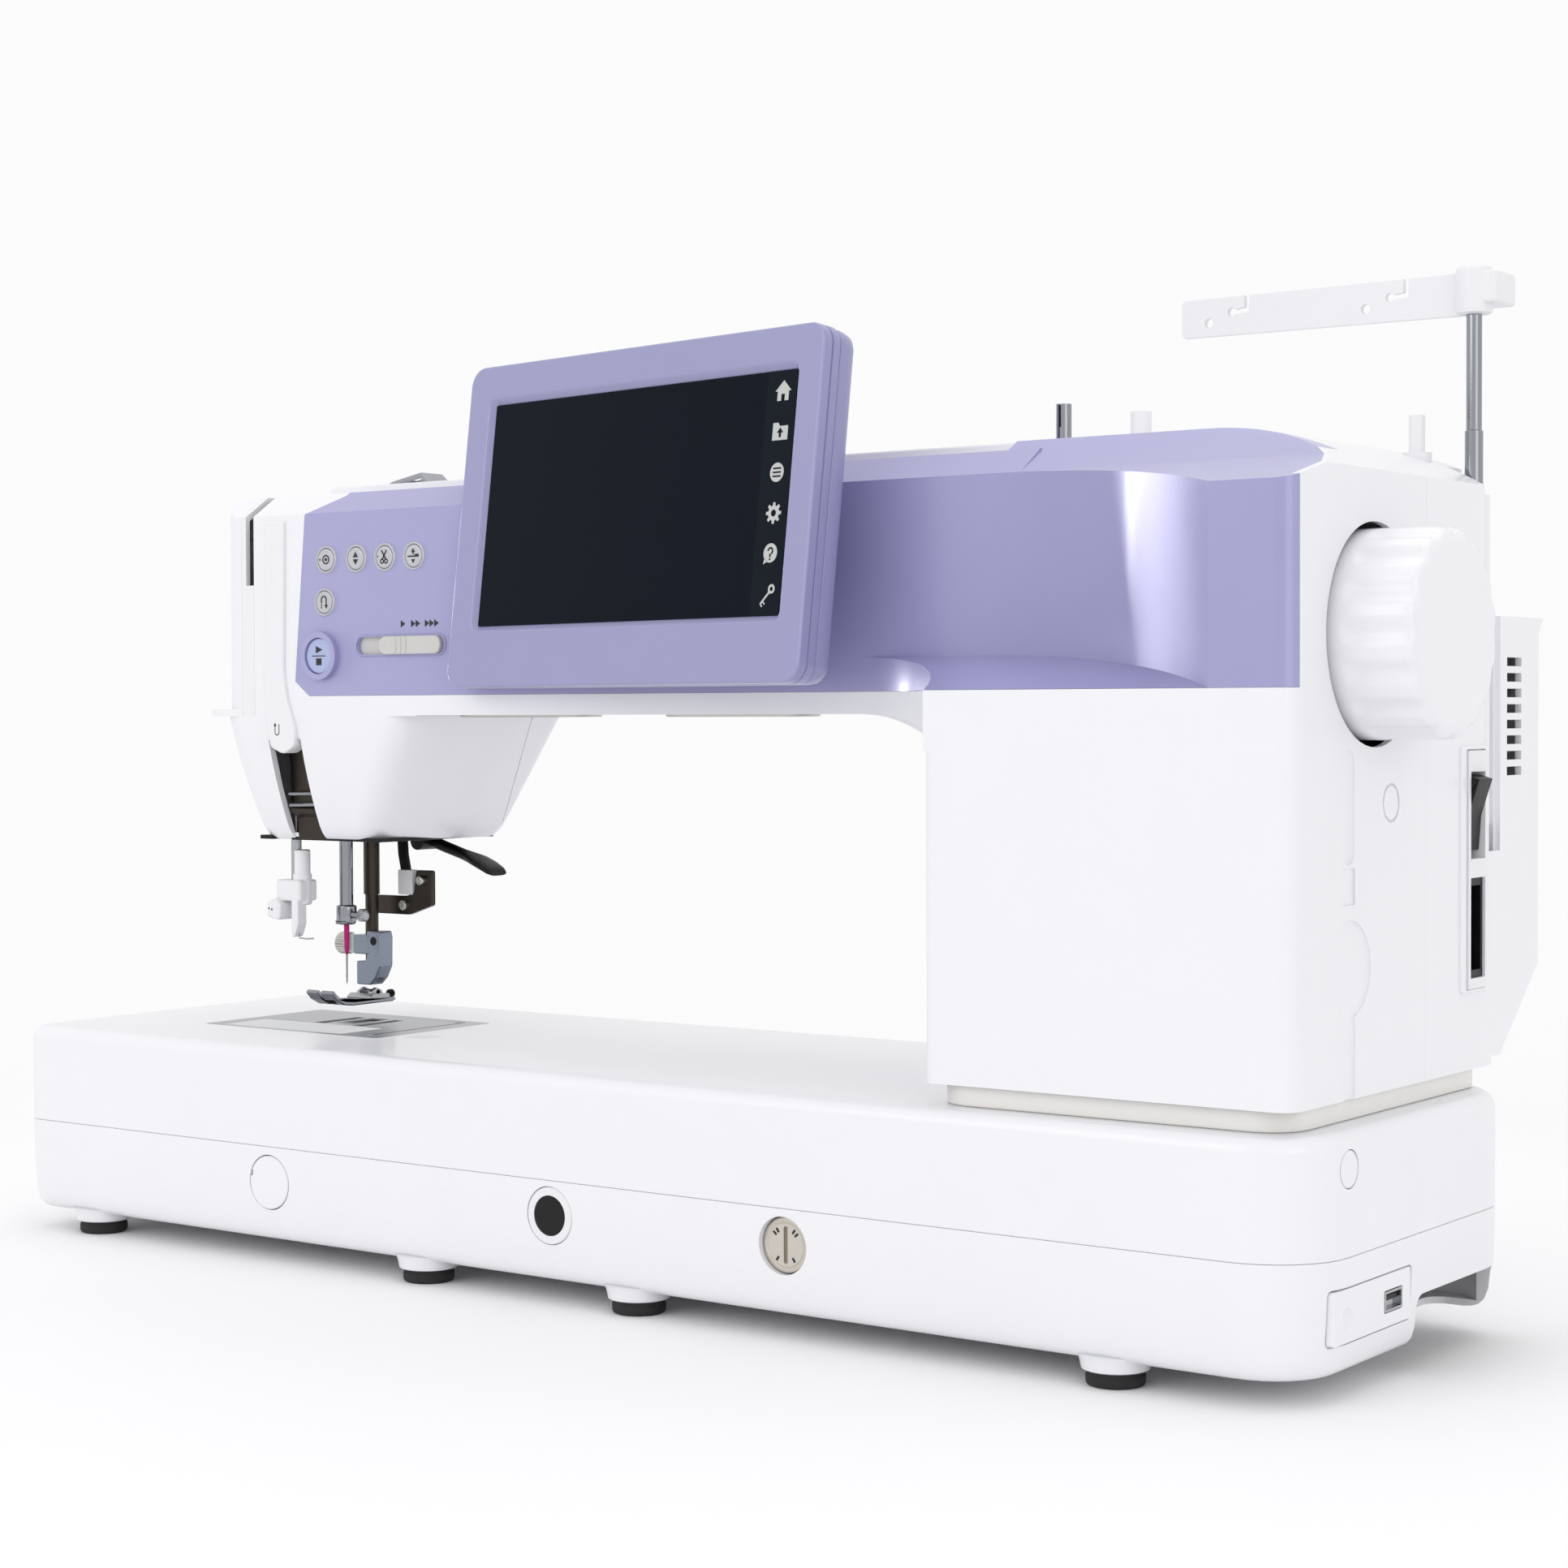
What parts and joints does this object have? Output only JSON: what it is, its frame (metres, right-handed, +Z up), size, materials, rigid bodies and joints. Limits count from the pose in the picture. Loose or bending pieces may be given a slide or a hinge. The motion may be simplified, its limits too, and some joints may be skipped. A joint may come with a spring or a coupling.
{
  "type": "sewing machine",
  "caption": "Long-bed computerised sewing machine with a tilted touch screen, thread mast, free needle area and white moulded covers with a lavender front.",
  "frame": {"origin": "middle of the bounding box at floor level, under the rubber feet", "axes": "+X to the handwheel end (the operator's right), +Y to the back, +Z up"},
  "size_m": [0.661, 0.222, 0.3987],
  "materials": {
    "white_shell": "satin moulded",
    "pale_trim": "satin moulded",
    "lavender": "metallic lacquer, satin",
    "black_rubber": "matt",
    "black_plastic": "satin moulded",
    "cast_frame": "as cast",
    "steel": "brushed",
    "chrome": "polished",
    "gunmetal": "oxidised, satin",
    "blue_steel": "satin",
    "dial_metal": "brushed, warm grey",
    "display_glass": "glossy black",
    "clear_plastic": "clear moulded",
    "button_silver": "metallic satin",
    "start_blue": "translucent satin",
    "slider_grey": "satin",
    "board_green": "solder mask",
    "motor_dark": "satin"
  },
  "bodies": {
    "machine": {"bottom_cover": "white_shell", "bed_cover": "white_shell", "rubber_feet": "black_rubber", "machine_frame": "cast_frame", "hole_plugs": "white_shell", "usb_panel": "white_shell", "needle_plate": "steel", "feed_bar": "gunmetal", "bobbin_case": "black_plastic", "drive_belts": "black_rubber", "motor": "motor_dark", "control_board": "board_green", "tower_plinth": "pale_trim", "front_cover": "white_shell", "rear_cover": "white_shell", "face_cover": "white_shell", "thread_channel": "pale_trim", "fascia": "lavender", "top_cover": "white_shell", "work_light_lenses": "clear_plastic", "screen_bezel": "lavender", "screen_housing": "lavender", "screen_glass": "display_glass", "switch_panel": "white_shell", "power_inlet": "black_plastic", "head_bottom_plate": "steel", "dual_feed_bracket": "gunmetal", "top_fittings": "white_shell", "top_thread_guide": "steel"},
    "main_shaft": {"main_shaft": "steel", "handwheel": "white_shell"},
    "lower_shaft": {"lower_shaft": "steel"},
    "rotary_hook": {"rotary_hook": "steel"},
    "motor_rotor": {"motor_pulley": "steel"},
    "bobbin": {"bobbin": "clear_plastic"},
    "needle_support": {"needle_support": "steel"},
    "needle_bar": {"needle_bar": "chrome", "needle": "chrome"},
    "presser_bar": {"presser_bar": "gunmetal", "foot_holder": "blue_steel"},
    "presser_foot": {"presser_foot": "chrome"},
    "presser_lifter": {"presser_lifter": "black_plastic"},
    "needle_threader": {"needle_threader": "white_shell"},
    "take_up_lever": {"take_up_lever": "steel"},
    "feed_dogs": {"feed_dogs": "steel"},
    "feed_dial": {"feed_dial": "dial_metal"},
    "knee_socket": {"knee_socket": "black_plastic"},
    "bobbin_cover": {"bobbin_cover": "clear_plastic"},
    "plate_release_key": {"plate_release_key": "white_shell"},
    "lock_button": {"lock_button": "button_silver"},
    "needle_button": {"needle_button": "button_silver"},
    "cutter_button": {"cutter_button": "button_silver"},
    "foot_button": {"foot_button": "button_silver"},
    "reverse_button": {"reverse_button": "button_silver"},
    "start_stop_button": {"start_stop_button": "start_blue"},
    "speed_slider": {"speed_slider": "slider_grey"},
    "power_switch": {"power_switch": "black_plastic"},
    "mast": {"mast_pole": "chrome", "mast_guide": "white_shell"},
    "winder_spindle": {"winder_spindle": "gunmetal"}
  },
  "joints": [
    {"name": "main_shaft_spin", "type": "hinge", "parent": "machine", "child": "main_shaft", "pos_m": [0.0695, -0.041, 0.259], "axis": [1, 0, 0], "continuous": true},
    {"name": "lower_shaft_spin", "type": "hinge", "parent": "machine", "child": "lower_shaft", "pos_m": [0.0195, -0.0217, 0.048], "axis": [1, 0, 0], "continuous": true},
    {"name": "hook_spin", "type": "hinge", "parent": "machine", "child": "rotary_hook", "pos_m": [-0.2185, -0.04, 0.07], "axis": [0, 0, 1], "continuous": true},
    {"name": "motor_spin", "type": "hinge", "parent": "machine", "child": "motor_rotor", "pos_m": [0.2665, 0.019, 0.15], "axis": [1, 0, 0], "continuous": true},
    {"name": "bobbin_spin", "type": "hinge", "parent": "machine", "child": "bobbin", "pos_m": [-0.2185, -0.04, 0.075], "axis": [0, 0, 1], "continuous": true},
    {"name": "needle_swing", "type": "hinge", "parent": "machine", "child": "needle_support", "pos_m": [-0.2127, -0.0224, 0.312], "axis": [0, 1, 0], "range_deg": [-1.15, 1.15]},
    {"name": "needle_stroke", "type": "slide", "parent": "needle_support", "child": "needle_bar", "axis": [0, 0, 1], "range_m": [-0.03, 0]},
    {"name": "foot_lift", "type": "slide", "parent": "machine", "child": "presser_bar", "axis": [0, 0, 1], "range_m": [-0.0076, 0.0035]},
    {"name": "foot_pitch", "type": "hinge", "parent": "presser_bar", "child": "presser_foot", "pos_m": [-0.2127, -0.007, 0.1052], "axis": [1, 0, 0], "range_deg": [-8, 2]},
    {"name": "lifter_turn", "type": "hinge", "parent": "machine", "child": "presser_lifter", "pos_m": [-0.1925, 0.009, 0.1745], "axis": [0, 1, 0], "range_deg": [-16, 36]},
    {"name": "threader_drop", "type": "slide", "parent": "machine", "child": "needle_threader", "axis": [0, 0, 1], "range_m": [-0.02, 0]},
    {"name": "take_up_swing", "type": "hinge", "parent": "machine", "child": "take_up_lever", "pos_m": [-0.2335, 0.013, 0.3], "axis": [1, 0, 0], "range_deg": [0, 25]},
    {"name": "dial_turn", "type": "hinge", "parent": "machine", "child": "feed_dial", "pos_m": [0.0967, -0.101, 0.036], "axis": [0, 1, 0], "range_deg": [0, 90]},
    {"name": "feed_stroke", "type": "slide", "parent": "machine", "child": "feed_dogs", "axis": [0, 1, 0], "range_m": [-0.0022, 0.0022]},
    {"name": "knee_turn", "type": "hinge", "parent": "machine", "child": "knee_socket", "pos_m": [-0.0162, -0.096, 0.036], "axis": [0, 1, 0], "range_deg": [0, 25], "stiffness_Nm_per_rad": 0.5},
    {"name": "bobbin_cover_lift", "type": "slide", "parent": "machine", "child": "bobbin_cover", "axis": [0, 0, 1], "range_m": [0, 0.006]},
    {"name": "plate_key_press", "type": "slide", "parent": "machine", "child": "plate_release_key", "axis": [0, 0, 1], "range_m": [-0.0015, 0], "stiffness_N_per_m": 400},
    {"name": "lock_button_press", "type": "slide", "parent": "machine", "child": "lock_button", "axis": [0, 1, 0], "range_m": [0, 0.0009], "stiffness_N_per_m": 300},
    {"name": "needle_button_press", "type": "slide", "parent": "machine", "child": "needle_button", "axis": [0, 1, 0], "range_m": [0, 0.0009], "stiffness_N_per_m": 300},
    {"name": "cutter_button_press", "type": "slide", "parent": "machine", "child": "cutter_button", "axis": [0, 1, 0], "range_m": [0, 0.0009], "stiffness_N_per_m": 300},
    {"name": "foot_button_press", "type": "slide", "parent": "machine", "child": "foot_button", "axis": [0, 1, 0], "range_m": [0, 0.0009], "stiffness_N_per_m": 300},
    {"name": "reverse_button_press", "type": "slide", "parent": "machine", "child": "reverse_button", "axis": [0, 1, 0], "range_m": [0, 0.0009], "stiffness_N_per_m": 300},
    {"name": "start_stop_press", "type": "slide", "parent": "machine", "child": "start_stop_button", "axis": [0, 1, 0], "range_m": [0, 0.001], "stiffness_N_per_m": 300},
    {"name": "speed_set", "type": "slide", "parent": "machine", "child": "speed_slider", "axis": [1, 0, 0], "range_m": [-0.0138, 0]},
    {"name": "power_rock", "type": "hinge", "parent": "machine", "child": "power_switch", "pos_m": [0.2975, 0.0435, 0.194], "axis": [0, 1, 0], "range_deg": [0, 18]},
    {"name": "mast_slide", "type": "slide", "parent": "machine", "child": "mast", "axis": [0, 0, 1], "range_m": [-0.044, 0]},
    {"name": "winder_spin", "type": "hinge", "parent": "machine", "child": "winder_spindle", "pos_m": [0.1522, -0.001, 0.34], "axis": [0, 0, 1], "continuous": true}
  ],
  "couplings": [
    {"joint": "lower_shaft_spin", "follows": "main_shaft_spin", "ratio": 1},
    {"joint": "hook_spin", "follows": "main_shaft_spin", "ratio": 2},
    {"joint": "motor_spin", "follows": "main_shaft_spin", "ratio": 3.75},
    {"joint": "lifter_turn", "follows": "foot_lift", "rad_per_m": -65.707}
  ]
}
